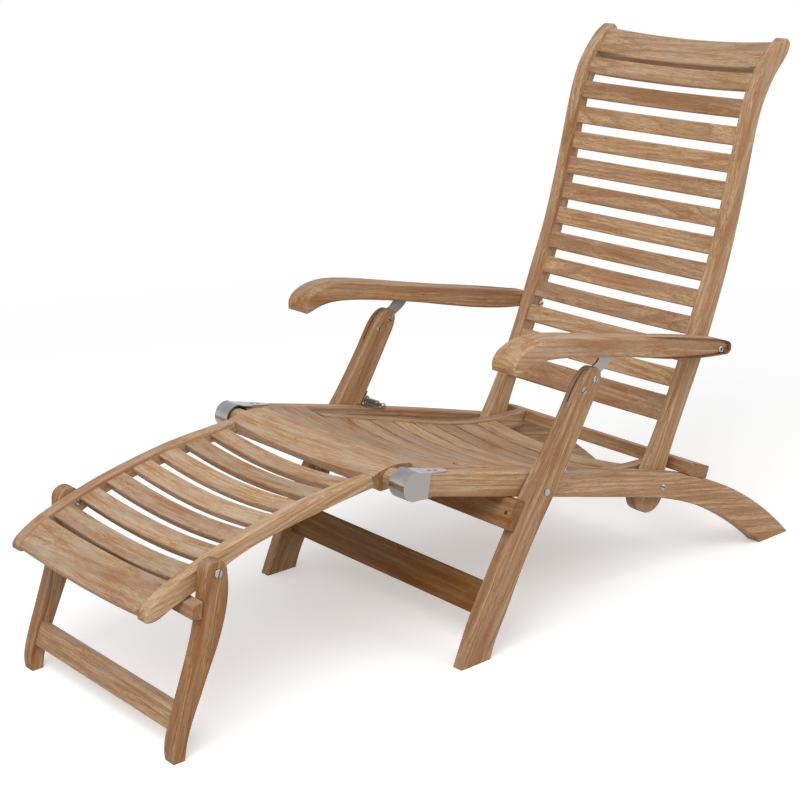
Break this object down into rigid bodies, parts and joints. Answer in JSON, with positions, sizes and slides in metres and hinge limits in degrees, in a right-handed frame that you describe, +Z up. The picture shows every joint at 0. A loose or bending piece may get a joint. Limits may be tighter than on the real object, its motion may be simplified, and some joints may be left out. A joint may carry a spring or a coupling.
{
  "type": "steamer deck chair",
  "caption": "Folding teak steamer deck chair with slatted seat and back, armrests and a slatted leg rest on its own folding legs.",
  "frame": {"origin": "on the floor, under the middle of the chair's length and width", "axes": "+Z up, -X towards the foot end, +X towards the back, -Y the sitter's left"},
  "size_m": [1.4367, 0.6054, 0.9563],
  "materials": {
    "teak": "oiled, satin",
    "steel": "plated, polished"
  },
  "bodies": {
    "seat_frame": {"left_side_rail": "teak", "right_side_rail": "teak", "seat_front_board": "teak", "left_seat_rail": "teak", "right_seat_rail": "teak", "seat_slats": "teak", "seat_rear_bar": "teak", "left_hinge_cap": "steel", "right_hinge_cap": "steel", "leg_rest_pivot_pins": "steel", "left_latch": "steel", "right_latch": "steel", "front_leg_pivot_bolts": "steel", "back_pivot_bolts": "steel"},
    "front_legs": {"left_front_leg": "teak", "right_front_leg": "teak", "front_leg_stretcher": "teak", "front_leg_stop_bar": "teak", "left_arm_plate": "steel", "right_arm_plate": "steel", "arm_plate_rivets": "steel", "latch_keepers": "steel"},
    "back": {"left_back_stile": "teak", "right_back_stile": "teak", "back_bottom_rail": "teak", "crest_rail": "teak", "arm_bolts": "steel", "back_slat_1": "teak", "back_slat_2": "teak", "back_slat_3": "teak", "back_slat_4": "teak", "back_slat_5": "teak", "back_slat_6": "teak", "back_slat_7": "teak", "back_slat_8": "teak", "back_slat_9": "teak", "back_slat_10": "teak", "back_slat_11": "teak", "back_slat_12": "teak"},
    "arms": {"left_armrest": "teak", "right_armrest": "teak", "arm_pins": "steel"},
    "leg_rest": {"left_leg_rest_rail": "teak", "right_leg_rest_rail": "teak", "leg_rest_slats": "teak", "leg_rest_front_board": "teak", "leg_rest_knee_board": "teak", "foot_leg_bolts": "steel"},
    "foot_legs": {"left_foot_leg": "teak", "right_foot_leg": "teak", "foot_leg_stretcher": "teak", "foot_leg_stop_bar": "teak"},
    "left_bolt": {"left_latch_bolt": "steel"},
    "right_bolt": {"right_latch_bolt": "steel"}
  },
  "joints": [
    {"name": "back_fold", "type": "hinge", "parent": "seat_frame", "child": "back", "pos_m": [0.34268, 0, 0.187], "axis": [0, -1, 0], "range_deg": [0, 84]},
    {"name": "front_leg_fold", "type": "hinge", "parent": "seat_frame", "child": "front_legs", "pos_m": [0.02268, 0, 0.265], "axis": [0, -1, 0], "range_deg": [0, 86]},
    {"name": "armrest_fold", "type": "hinge", "parent": "back", "child": "arms", "pos_m": [0.48368, 0, 0.419], "axis": [0, -1, 0], "range_deg": [-87, 0]},
    {"name": "leg_rest_lift", "type": "hinge", "parent": "seat_frame", "child": "leg_rest", "pos_m": [-0.24832, 0, 0.336], "axis": [0, 1, 0], "range_deg": [0, 40]},
    {"name": "foot_leg_fold", "type": "hinge", "parent": "leg_rest", "child": "foot_legs", "pos_m": [-0.60432, 0, 0.2815], "axis": [0, -1, 0], "range_deg": [0, 90]},
    {"name": "left_latch_slide", "type": "slide", "parent": "seat_frame", "child": "left_bolt", "axis": [0, -1, 0], "range_m": [0, 0.011]},
    {"name": "right_latch_slide", "type": "slide", "parent": "seat_frame", "child": "right_bolt", "axis": [0, 1, 0], "range_m": [0, 0.011]}
  ],
  "couplings": [
    {"joint": "front_leg_fold", "follows": "back_fold", "ratio": 1.02},
    {"joint": "armrest_fold", "follows": "back_fold", "ratio": -1.035}
  ]
}
